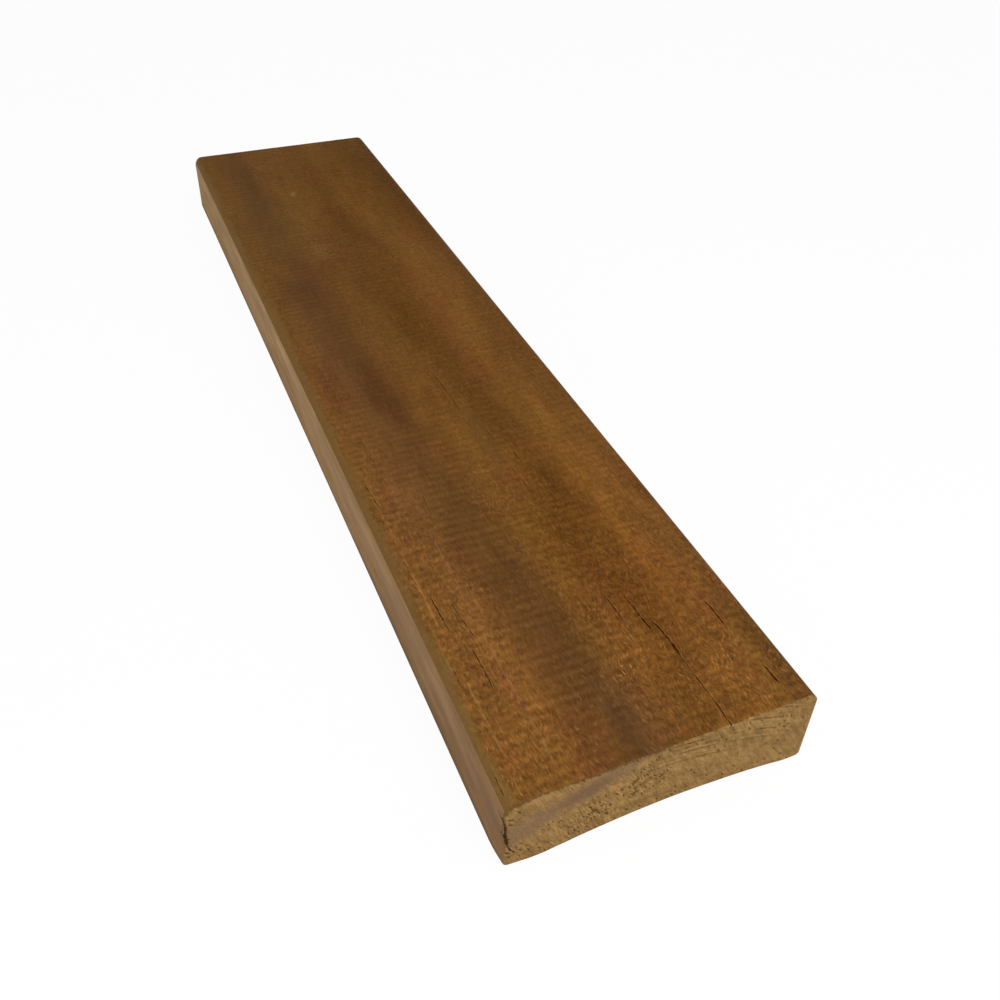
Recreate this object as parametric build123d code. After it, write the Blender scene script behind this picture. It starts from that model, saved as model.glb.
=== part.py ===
from build123d import *
import os

# Cover strip: one planed hardwood batten with rounded arrises and a shallow hollow in its back.
# Row frame: X runs along the grain with the sawn near end at +X, Y runs across the strip, and Z points
# up from the surface that the two lands of the back rest on. The origin is under the middle of the strip.
# All sizes are in millimetres.

# Stock
strip_length = 316.5
strip_width = 70.0
strip_thickness = 21.0

# Arrises: the four long edges are rounded by the planer, and the two sawn ends are left sharp
face_edge_radius = 2.8
wide_land_edge_radius = 1.5
narrow_land_edge_radius = 1.0

# Back: the hollow is one flat arc between a wide land at -Y and a narrow one at +Y
wide_land = 9.5
narrow_land = 3.5
hollow_depth = 2.5

# Chip broken out of the near end's upright edge at -Y, as it shows on the end face
chip_width = 1.5
chip_top = 17.0
chip_shoulder = 12.5
chip_bottom = 7.0
chip_run = 2.0

# How far a cutting tool stands outside the wood, so that no cut ends flush with a face
tool_overshoot = 1.0


def stock_section():
    """Outline across the strip before the hollow is planed, with its rounded arrises."""
    section = Pos(0, strip_thickness / 2) * Rectangle(strip_width, strip_thickness)
    section = fillet(section.vertices().group_by(Axis.Y)[-1], face_edge_radius)
    wide_land_corner = section.vertices().group_by(Axis.Y)[0].sort_by(Axis.X)[0]
    section = fillet(wide_land_corner, wide_land_edge_radius)
    narrow_land_corner = section.vertices().group_by(Axis.Y)[0].sort_by(Axis.X)[-1]
    return fillet(narrow_land_corner, narrow_land_edge_radius)


def hollow_section():
    """Disc whose rim is the arc of the hollow, from the edge of one land to the edge of the other."""
    hollow_start = -strip_width / 2 + wide_land
    hollow_end = strip_width / 2 - narrow_land
    half_chord = (hollow_end - hollow_start) / 2
    arc_radius = (half_chord**2 + hollow_depth**2) / (2 * hollow_depth)
    return Pos((hollow_start + hollow_end) / 2, hollow_depth - arc_radius) * Circle(arc_radius)


def corner_chip():
    """Splinter lost from the upright edge of the near end: deepest at its shoulder and running out above."""
    outside = -strip_width / 2 - tool_overshoot
    edge = -strip_width / 2
    outline = Polyline(
        (outside, chip_top),
        (edge, chip_top),
        (edge + chip_width, chip_shoulder),
        (edge + chip_width, (chip_shoulder + chip_bottom) / 2),
        (edge, chip_bottom),
        (outside, chip_bottom),
        close=True,
    )
    near_end = Plane.YZ.offset(strip_length / 2)
    splinter = near_end * make_face(outline)
    return extrude(splinter, amount=chip_run, both=True)


def cover_strip():
    """The whole strip: its section carried along the grain, less the chip."""
    section = stock_section() - hollow_section()
    far_end = Plane.YZ.offset(-strip_length / 2)
    strip = extrude(far_end * section, amount=strip_length)
    return strip - corner_chip()


os.makedirs("parts", exist_ok=True)
export_step(cover_strip(), "parts/cover_strip.step")
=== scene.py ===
"""Dresses the cover strip: one planed hardwood batten with an oiled show face and bare edges, back and ends.

Everything is in the row frame: X runs along the grain to the near end, Y across the strip and Z up out of
the show face. Shapes and patterns are worked out in millimetres and put into the mesh in metres.
"""

import logging
import math
from collections.abc import Callable
from dataclasses import dataclass, field
from enum import IntEnum

import bpy
import numpy as np
from mathutils import Matrix, Vector

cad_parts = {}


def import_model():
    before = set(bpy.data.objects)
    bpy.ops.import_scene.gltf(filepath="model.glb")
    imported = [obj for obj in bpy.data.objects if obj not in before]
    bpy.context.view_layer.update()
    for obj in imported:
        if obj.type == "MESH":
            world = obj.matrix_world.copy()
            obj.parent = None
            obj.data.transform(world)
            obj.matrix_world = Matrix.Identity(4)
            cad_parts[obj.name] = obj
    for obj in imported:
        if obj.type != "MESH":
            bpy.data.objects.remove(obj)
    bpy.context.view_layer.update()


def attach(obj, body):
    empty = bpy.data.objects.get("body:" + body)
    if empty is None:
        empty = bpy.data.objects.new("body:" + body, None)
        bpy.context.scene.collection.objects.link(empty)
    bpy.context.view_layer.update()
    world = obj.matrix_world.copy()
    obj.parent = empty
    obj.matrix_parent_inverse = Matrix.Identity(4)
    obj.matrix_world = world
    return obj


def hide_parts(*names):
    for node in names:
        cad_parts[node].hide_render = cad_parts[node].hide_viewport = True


log = logging.getLogger("cover_strip")

MM = 0.001
Colour = tuple[float, float, float]
Socket = bpy.types.NodeSocket
# Sizes in millimetres and slopes that the mesh and the patterns share.
KNIFE_PITCH = 2.592
KNIFE_BOW = 0.12
KNIFE_BOW_ACROSS = 0.31
KNIFE_BOW_ALONG = 0.013
KNIFE_RIPPLE = 0.07
KNIFE_RIPPLE_ACROSS = 1.1
STRIP_LENGTH = 316.5
STRIP_WIDTH = 70.0
STRIP_THICKNESS = 21.0
FACE_ARRIS = 2.8
PORE_LEAN = (0.49, 0.87)
BAND_LEAN = (0.922, 0.387)


def srgb(red: int, green: int, blue: int) -> Colour:
    """Linear colour of an 8-bit sRGB one.

    Args:
        red: Red, 0 to 255.
        green: Green, 0 to 255.
        blue: Blue, 0 to 255.

    Returns:
        The three linear parts, by the sRGB curve.
    """
    parts = np.array([red, green, blue]) / 255
    linear = np.where(parts <= 0.04045, parts / 12.92, ((parts + 0.055) / 1.055) ** 2.4)
    return tuple(float(part) for part in linear)


def smooth_noise(along: np.ndarray, pitch: float, seed: int) -> np.ndarray:
    """Seeded noise along a line: random heights one pitch apart, joined by half cosine waves.

    Args:
        along: Places on the line.
        pitch: Distance between the random heights.
        seed: Seed of the random heights.

    Returns:
        Values from -1 to 1 at the places.
    """
    heights = np.random.default_rng(seed).uniform(-1, 1, 4096)
    cell = np.floor(along / pitch)
    share = (1 - np.cos(np.pi * (along / pitch - cell))) / 2
    first = cell.astype(int) % heights.size
    return heights[first] * (1 - share) + heights[(first + 1) % heights.size] * share


def fields_of(source: object, names: str) -> dict[str, float]:
    """An object's fields of the given names, by their names with a capital."""
    return {name.title(): getattr(source, name) for name in names.split()}


def linked(name: str, data: bpy.types.ID) -> bpy.types.Object:
    """An object of the scene with the given name and data."""
    made = bpy.data.objects.new(name, data)
    bpy.context.scene.collection.objects.link(made)
    return made


class Skin(IntEnum):
    """The finishes of the strip, in the order of its material slots."""

    OILED_FACE = 0
    BARE_EDGE = 1
    SAWN_END = 2
    SPLIT_WOOD = 3


@dataclass(frozen=True)
class Check:
    """One drying check: a narrow split that opens along a stretch of its track.

    Args:
        start: Where it opens, along the strip.
        end: Where it closes.
        width: Widest opening.
        depth: Deepest point.
    """

    start: float
    end: float
    width: float
    depth: float

    def opening(self, along: np.ndarray, strip_end: float) -> np.ndarray:
        """Share of the full width that is open: the root of a blunted sine arch over the check's stretch.

        Args:
            along: Places along the strip.
            strip_end: Place of the near end. A check that reaches it stays open there.

        Returns:
            Values from 0 to 1.
        """
        share = np.clip((along - self.start) / (self.end - self.start), 0, 1)
        arch = np.sin(np.pi * share / (2 if self.end >= strip_end else 1))
        ragged = 0.58 + 0.42 * smooth_noise(along, 0.8, int(self.start * 10))
        return np.sqrt(np.clip(1.6 * arch, 0, 1)) * ragged


@dataclass(frozen=True)
class Track:
    """A line of the grain that checks open along.

    Args:
        places: Points (along, across) of the line, in order along the strip.
    """

    places: tuple[tuple[float, float], ...]
    checks: tuple[Check, ...]

    def across(self, along: np.ndarray) -> np.ndarray:
        """Place of the line across the strip: straight between its points, with a small wander.

        Args:
            along: Places along the strip.

        Returns:
            The line's place across at each.
        """
        line = np.interp(along, *zip(*self.places))
        seed = int(abs(self.places[0][1]) * 100)
        return line + 0.09 * smooth_noise(along, 2.9, seed) + 0.1 * smooth_noise(along, 0.9, seed + 1)


TRACKS = (
    Track(((150.4, -33.6), (155.6, -33.7)), (Check(150.6, 155.8, 0.34, 0.6),)),
    Track(((125.2, -31.8), (129, -31.9)), (Check(124.8, 129.0, 0.26, 0.6),)),
    Track(((59.8, -31.3), (72.9, -30.5)), (Check(59.4, 73.2, 0.26, 0.8),)),
    Track(
        ((82.0, -28.4), (85.0, -28.4), (104, -29.4), (115, -28.9)),
        (Check(81.8, 85.6, 0.2, 0.5), Check(103.4, 115.4, 0.32, 0.9)),
    ),
    Track(((121.0, -26.3), (127, -26.1), (134, -26.2)), (Check(120.4, 134.2, 0.26, 0.8),)),
    Track(((107.6, -25.6), (113.4, -25.1), (118.4, -24.4)), (Check(107.2, 118.8, 0.3, 0.8),)),
    Track(((136.6, -22.5), (139.6, -22.5)), (Check(136.2, 139.8, 0.22, 0.5),)),
    Track(((71, -19.4), (78.4, -19.7)), (Check(70.6, 78.6, 0.18, 0.5),)),
    Track(((17.2, 1.0), (28, 1.9), (41.6, 2.2)), (Check(17.0, 42.6, 0.26, 0.9),)),
    Track(
        ((48.8, 4.9), (56.2, 6.1), (68.8, 5.5), (76.3, 6.3), (118.5, 6.8), (126.8, 7.3)),
        (Check(48.2, 56.8, 0.26, 0.6), Check(68.4, 76.6, 0.18, 0.5), Check(117.6, 127.4, 0.34, 0.9)),
    ),
    Track(((62.2, 8.6), (69, 8.8)), (Check(61.8, 69.4, 0.28, 0.7),)),
    Track(((118.8, 11.0), (126, 11.2), (133, 11.6)), (Check(118.4, 133.2, 0.44, 1.0),)),
    Track(
        ((128.4, 12.9), (131, 13.3), (134, 13.6), (158, 13.8)),
        (Check(128.0, 139.0, 0.5, 1.3), Check(134.0, 158.3, 0.3, 1.2)),
    ),
    Track(((37.3, 19.9), (54, 21.0)), (Check(37.0, 54.2, 0.18, 0.5),)),
    Track(((127.4, 26.8), (135.8, 27.0)), (Check(127.0, 136.2, 0.4, 0.8),)),
    Track(((147.4, 28.4), (153, 28.7)), (Check(147.0, 153.2, 0.45, 0.9),)),
)


@dataclass
class StripSection:
    """The strip's outline across the grain: a rounded oblong with one flat arc planed out of its back."""

    width: float = STRIP_WIDTH
    thickness: float = STRIP_THICKNESS
    face_arris: float = FACE_ARRIS
    wide_land_arris: float = 1.5
    narrow_land_arris: float = 1.0
    wide_land: float = 9.5
    narrow_land: float = 3.5
    hollow_depth: float = 2.5
    step: float = 0.02

    def corner(self, side: int, level: int, radius: float, start: float) -> np.ndarray:
        """A quarter circle that rounds one corner of the section.

        Args:
            side: -1 for the left corner, 1 for the right one.
            level: 0 for the back's corner, 1 for the face's.
            radius: The arris's radius.
            start: Angle of its first point from +Y, in degrees. It turns clockwise from there.

        Returns:
            Points (across, up) along it.
        """
        across = side * (self.width / 2 - radius)
        up = radius if level == 0 else self.thickness - radius
        turn = np.radians(start - np.linspace(0, 90, int(radius * math.pi / 2 / self.step)))
        return np.stack([across + radius * np.cos(turn), up + radius * np.sin(turn)], 1)

    def hollow(self, across: np.ndarray) -> np.ndarray:
        """Height of the back: an arc of a circle over the chord between the lands, and 0 on the lands.

        Args:
            across: Places across the strip.

        Returns:
            The back's height above the surface that the lands rest on.
        """
        start, end = -self.width / 2 + self.wide_land, self.width / 2 - self.narrow_land
        half = (end - start) / 2
        radius = (half**2 + self.hollow_depth**2) / (2 * self.hollow_depth)
        off = np.minimum(np.abs(across - (start + end) / 2), half)
        return np.sqrt(radius**2 - off**2) - (radius - self.hollow_depth)

    def outline(self) -> tuple[np.ndarray, np.ndarray]:
        """The whole outline as a line: over the face from the left side, down the right, and along the back.

        Returns:
            The distance along the line, and the points (across, up) there.
        """
        half = self.width / 2
        back = np.arange(half - self.narrow_land_arris, self.wide_land_arris - half, -self.step)
        parts = [
            self.corner(-1, 1, self.face_arris, 180),
            self.corner(1, 1, self.face_arris, 90),
            self.corner(1, 0, self.narrow_land_arris, 0),
            np.stack([back, self.hollow(back)], 1),
            self.corner(-1, 0, self.wide_land_arris, -90),
        ]
        points = np.concatenate(parts)
        length = np.concatenate([[0], np.cumsum(np.hypot(*np.diff(points, axis=0).T))])
        return length, points


@dataclass
class PlanedStrip:
    """The strip: its section carried along the grain, with knife marks, checks, a chip and ragged ends."""

    length: float = STRIP_LENGTH
    section: StripSection = field(default_factory=StripSection)
    mark_pitch: float = KNIFE_PITCH
    mark_depth: float = 0.03
    far_steps: int = 4
    near_steps: int = 6
    near_start: float = 98.0
    fine_stretch: float = 3.0
    fine_step: float = 0.15
    closed_width: float = 0.07
    lip_width: float = 0.24
    track_margin: float = 0.7
    face_rows: int = 27
    arris_skip: int = 24
    slope_reach: float = 0.05
    ragged_depth: float = 0.3
    oiled_limit: float = 19.9
    worn_foot: float = 0.8
    foot_length: float = 7.0
    foot_reach: float = 4.5
    worn_corner: tuple[float, float] = (0.8, 3.2)
    corner_length: float = 8.0
    sharp_angle: float = 38.0

    def stations(self) -> np.ndarray:
        """Places along the strip of the section's copies: a share of a knife mark apart, finer at the end."""
        half = self.length / 2
        near = half - self.fine_stretch
        far_part = np.arange(-half, self.near_start, self.mark_pitch / self.far_steps)
        near_part = np.arange(self.near_start, near, self.mark_pitch / self.near_steps)
        fine = np.linspace(near, half, round(self.fine_stretch / self.fine_step))
        return np.concatenate([far_part, near_part, fine])

    def place_of(self, length: np.ndarray, points: np.ndarray, across: np.ndarray) -> np.ndarray:
        """Distance along the outline of points of the show face and its arrises, from their place across.

        Args:
            length: Distances along the outline.
            points: The outline's points.
            across: Places across the strip.

        Returns:
            The distance along the outline at each.
        """
        upper = points[:, 1] >= self.section.thickness - self.section.face_arris - 1e-9
        upper &= np.arange(len(points)) < len(points) / 2
        return np.interp(across, points[upper, 0], length[upper])

    def rows(self, along: np.ndarray) -> tuple[np.ndarray, np.ndarray, np.ndarray, np.ndarray]:
        """The lengthwise rows of the mesh: plain ones, and four for each track of checks.

        Args:
            along: The stations.

        Returns:
            Four values for each station and row: the row's distance along the outline, the depth cut into
            it, whether a check is open there, and the strength of the painted highlight on its rim.
        """
        length, points = self.section.outline()
        s = self.section
        flat = s.width / 2 - s.face_arris
        margin = self.track_margin
        taken = [(min(a for _, a in t.places) - margin, max(a for _, a in t.places) + margin) for t in TRACKS]
        left, right = s.corner(-1, 1, s.face_arris, 180), s.corner(1, 1, s.face_arris, 90)
        skip = self.arris_skip
        level = np.linspace(-flat, flat, self.face_rows)
        spots = np.concatenate([level, left[::skip, 0], right[skip::skip, 0]])
        free = [a for a in spots if not any(low < a < high for low, high in taken)]
        plain = list(self.place_of(length, points, np.array(free)))
        foot = self.place_of(length, points, np.array([s.width / 2]))[0]
        right_foot = foot + s.thickness - s.face_arris - s.narrow_land_arris
        right_arc = s.narrow_land_arris * math.pi / 2
        plain += list(np.linspace(foot, right_foot, 7))
        plain += list(right_foot + right_arc * np.linspace(0, 1, 5)[1:])
        hollow = [31.0, 29, *range(26, -19, -4), -21, -23.5, -25.2]
        back = np.array([32.5, 31.5, *hollow, -25.8, -29])
        plain += list(right_foot + right_arc + s.width / 2 - s.narrow_land_arris - back)
        left_arc = s.wide_land_arris * math.pi / 2
        plain += list(length[-1] - left_arc * np.linspace(1, 0, 7))
        left_side = s.thickness - s.face_arris - s.wide_land_arris
        heights = np.concatenate([np.arange(0.9, 4, 1), np.arange(4.2, 14.6, 0.4), [15.1]])
        plain += list(length[-1] + heights[heights < left_side])
        lines = [np.full_like(along, p) for p in plain]
        depths = [np.zeros_like(along) for _ in plain]
        opens = [np.zeros_like(along, bool) for _ in plain]
        lip_highlights = [np.zeros_like(along) for _ in plain]
        for track in TRACKS:
            openings = [c.opening(along, self.length / 2) for c in track.checks]
            width = 1.25 * sum(o * c.width for o, c in zip(openings, track.checks))
            width = np.maximum(width, self.closed_width)
            depth = sum(o * c.depth for o, c in zip(openings, track.checks))
            middle = self.place_of(length, points, track.across(along))
            shift = 0.3 * width * smooth_noise(along, 1.0, int(track.places[0][0]))
            flat = np.zeros_like(along)
            rim = middle + width / 2
            lines += [middle - width / 2, middle + shift, rim, rim + self.lip_width]
            depths += [flat, depth, flat, flat]
            opens += [depth > 0.02, depth > 0.02, flat > 0, flat > 0]
            # Painted highlight: the rim row of an open check turns pale, more so the deeper the check.
            lip_highlights += [flat, flat, np.clip(depth / 0.3, 0, 1), flat]
        order = np.argsort([line.mean() for line in lines])
        return tuple(np.stack([values[i] for i in order], 1) for values in (lines, depths, opens, lip_highlights))

    def chip(self, along: np.ndarray, up: np.ndarray) -> np.ndarray:
        """How far the worn and chipped upright edge is broken in from the left side.

        The depth on the end face follows a ragged line over the height, deepest in the notch, and it comes
        to nothing a little way along the side, falling in steeply from there.

        Args:
            along: Places along the strip.
            up: Heights on the left side.

        Returns:
            The depth of the break, 0 outside it.
        """
        heights = [1.4, 2.6, 4.6, 6.2, 7.0, 7.8, 9.0, 10.4, 12.0, 13.2, 15.0, 17.0, 18.2, 18.8]
        depth = np.interp(up, heights, [0, 0.4, 0.6, 0.75, 1.1, 1.5, 1.3, 1.25, 0.9, 1.0, 0.85, 0.8, 0.5, 0])
        reach = [0.2, 0.3, 0.4, 0.45, 0.7, 0.9, 0.7, 0.75, 0.5, 0.6, 0.5, 0.5, 0.3, 0.2]
        back = np.interp(up, heights, reach)
        depth = depth * (1 + 0.12 * smooth_noise(up, 0.5, 31))
        share = np.clip((along - (self.length / 2 - back)) / back, 0, 1)
        return depth * share**1.3

    def foot_wear(self, along: np.ndarray, across: np.ndarray, up: np.ndarray) -> np.ndarray:
        """How far the lower left arris is worn in where it reaches the near end.

        It grows with the square of the way along the last few millimetres, and it falls evenly to nothing
        a few millimetres away from the corner of the section.

        Args:
            along: Places along the strip.
            across: Places across the strip.
            up: Heights.

        Returns:
            The depth of the wear.
        """
        near = np.clip(1 - (self.length / 2 - along) / self.foot_length, 0, 1)
        corner = np.hypot(across + self.section.width / 2, up)
        return self.worn_foot * near**2 * np.clip(1 - corner / self.foot_reach, 0, 1)

    def set_back(self, across: np.ndarray, up: np.ndarray) -> np.ndarray:
        """How far the far end is worn back beside its left upright edge: a quarter circle, seen from above.

        The circle's radius grows evenly from the foot to the face.

        Args:
            across: Places across the strip.
            up: Heights.

        Returns:
            The distance from the plane of the sawn end.
        """
        radius = np.interp(up, [0, self.section.thickness], self.worn_corner)
        beside = np.clip(across + self.section.width / 2, 0, radius)
        return radius - np.sqrt(radius**2 - (radius - beside) ** 2)

    def grid(self) -> tuple[np.ndarray, np.ndarray, np.ndarray, np.ndarray]:
        """The long surface: for each station and row, the outline's point there, moved in by marks and cuts.

        Returns:
            The points in millimetres, the finish of each four-sided face, each point's depth in a check
            for the painted shade there, and the painted highlight on the rims, all by station and row.
        """
        along = self.stations()
        length, points = self.section.outline()
        lines, depths, opens, lip_highlights = self.rows(along)
        around = length[-1] + np.hypot(*(points[0] - points[-1]))
        closed = np.concatenate([points, points[:1]])
        distance = np.concatenate([length, [around]])
        across = np.interp(lines, distance, closed[:, 0])
        up = np.interp(lines, distance, closed[:, 1])
        ahead, behind = (
            [np.interp((lines + off) % around, distance, closed[:, axis]) for axis in (0, 1)]
            for off in (self.slope_reach, -self.slope_reach)
        )
        normal = np.stack([behind[1] - ahead[1], ahead[0] - behind[0]], -1)
        normal /= np.linalg.norm(normal, axis=-1, keepdims=True)
        x = np.repeat(along[:, None], lines.shape[1], 1)
        bow = KNIFE_BOW * np.sin(across * KNIFE_BOW_ACROSS + x * KNIFE_BOW_ALONG)
        wobble = bow + KNIFE_RIPPLE * np.sin(across * KNIFE_RIPPLE_ACROSS)
        phase = 2 * np.pi * (x + wobble) / self.mark_pitch
        marks = self.mark_depth * (0.5 - 0.35 * np.cos(phase) - 0.15 * np.cos(phase / 2))
        facing = np.clip(np.abs(normal[..., 1]) * 4 - 3, 0, 1)
        cut = depths + marks * facing + self.foot_wear(x, across, up)
        across = across - normal[..., 0] * cut
        up = up - normal[..., 1] * cut
        on_side = across < -self.section.width / 2 + 0.5
        chipped = self.chip(x, up)
        across = across + np.where(on_side, chipped, 0)
        # How deep each point lies in a check; the finishes paint shade by it.
        check_depth = np.clip(depths / 0.4, 0, 1)
        ragged = 0.5 + 0.3 * smooth_noise(across, 0.45, 7) + 0.2 * smooth_noise(across, 1.9, 8)
        pull = self.ragged_depth * ragged * np.where(up > self.section.thickness - 1, 1.0, 0.25)
        x[-1] -= pull[-1]
        x[0] += 0.6 * pull[0]
        x += self.set_back(across, up) * np.clip(1 - (x + self.length / 2) / self.corner_length, 0, 1)
        skin = np.full((len(along) - 1, lines.shape[1]), Skin.BARE_EDGE, int)
        middle_up = (up + np.roll(up, -1, 1))[:-1] / 2
        skin[middle_up > self.oiled_limit] = Skin.OILED_FACE
        skin[(opens[:-1] & opens[1:])] = Skin.SPLIT_WOOD
        broken = (chipped > 0.02) & on_side
        skin[(broken[:-1] & broken[1:])] = Skin.SPLIT_WOOD
        return np.stack([x, across, up], -1), skin, check_depth, lip_highlights

    def cap_rings(self, ring: np.ndarray, end: float) -> np.ndarray:
        """Rings that close an end: the outline drawn in towards the middle line of the section.

        Each point moves along the line to its nearest point on the section's middle line, by a share that
        grows from ring to ring, and it lies in the plane of the sawn end.

        Args:
            ring: The long surface's last points.
            end: Place of the end along the strip.

        Returns:
            The rings' points, one row per ring.
        """
        half = self.section.thickness / 2
        reach = self.section.width / 2 - half
        middle = np.stack([np.clip(ring[:, 1], -reach, reach), np.full(len(ring), half)], 1)
        shares = np.array([0.02, 0.06, 0.12, 0.2, 0.3, 0.5, 0.7, 0.88])[:, None, None]
        drawn = ring[None, :, 1:] * (1 - shares) + middle[None] * shares
        return np.concatenate([np.full(drawn.shape[:2] + (1,), end), drawn], -1)

    def build(self) -> bpy.types.Object:
        """Puts the long surface and its two ends into one closed mesh.

        Returns:
            The strip's object, at the origin, with its place in its mesh.
        """
        points, skin, check_depth, lip_highlights = self.grid()
        stations, around = points.shape[:2]
        half = self.length / 2
        caps = [self.cap_rings(points[-1], half), self.cap_rings(points[0], -half)]
        caps[1][..., 0] += self.set_back(caps[1][..., 1], caps[1][..., 2])
        rings = caps[0].shape[0]
        index = np.arange(stations * around).reshape(stations, around)
        near = stations * around + np.arange(rings * around).reshape(rings, around)
        far = near + rings * around
        shells = [index, np.concatenate([index[-1:], near]), np.concatenate([far[::-1], index[:1]])]
        quads = []
        for shell in shells:
            a, b = shell[:-1], shell[1:]
            c, d = np.roll(b, -1, 1), np.roll(a, -1, 1)
            quads.append(np.stack([a, b, c, d], -1).reshape(-1, 4))
        skins = [skin.ravel()] + [np.full(rings * around, Skin.SAWN_END)] * 2
        everything = np.concatenate([points.reshape(-1, 3)] + [c.reshape(-1, 3) for c in caps]) * MM
        quads = np.concatenate(quads)
        closings = [near[-1][::-1].tolist(), far[-1].tolist()]
        faces = quads.tolist() + closings
        mesh = bpy.data.meshes.new("planed_strip")
        mesh.from_pydata(everything.tolist(), [], faces)
        kinds = np.concatenate(skins + [np.full(2, Skin.SAWN_END)]).astype(np.int32)
        mesh.polygons.foreach_set("material_index", kinds)
        mesh.polygons.foreach_set("use_smooth", np.ones(len(faces), bool))
        for name, values in (("check_depth", check_depth), ("lip_highlight", lip_highlights)):
            values = np.concatenate([values.ravel(), np.zeros(2 * rings * around)])
            mesh.attributes.new(name, "FLOAT", "POINT").data.foreach_set("value", values.astype(np.float32))
        mesh.set_sharp_from_angle(angle=math.radians(self.sharp_angle))
        mesh.update()
        return linked("planed_strip", mesh)

    def dress(self, strip: bpy.types.Object) -> None:
        """Gives the strip its four finishes, in the order of Skin.

        Args:
            strip: The strip's object.
        """
        for finish in (OiledFace(), BareEdge(), SawnEnd(), SplitWood()):
            strip.data.materials.append(finish.material())
        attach(strip, "root")
        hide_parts("cover_strip")


class Wire:
    """What comes out of a node. Arithmetic on wires makes Math nodes."""

    def __init__(self, wiring: "Wiring", socket: Socket) -> None:
        """Keeps the node's output and the wiring that it belongs to."""
        self.wiring = wiring
        self.socket = socket

    def __add__(self, other: "Wire | float") -> "Wire":
        """The sum."""
        return self.wiring.maths("ADD", self, other)

    def __sub__(self, other: "Wire | float") -> "Wire":
        """The difference."""
        return self.wiring.maths("SUBTRACT", self, other)

    def __rsub__(self, other: float) -> "Wire":
        """A number less this."""
        return self.wiring.maths("SUBTRACT", other, self)

    def __mul__(self, other: "Wire | float") -> "Wire":
        """The product."""
        return self.wiring.maths("MULTIPLY", self, other)

    def __truediv__(self, other: "Wire | float") -> "Wire":
        """The quotient."""
        return self.wiring.maths("DIVIDE", self, other)

    def __abs__(self) -> "Wire":
        """The value without its sign."""
        return self.wiring.maths("ABSOLUTE", self)


Wires = dict[str, Wire]
Pattern = tuple[Wire, Wire, Wire]


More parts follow.
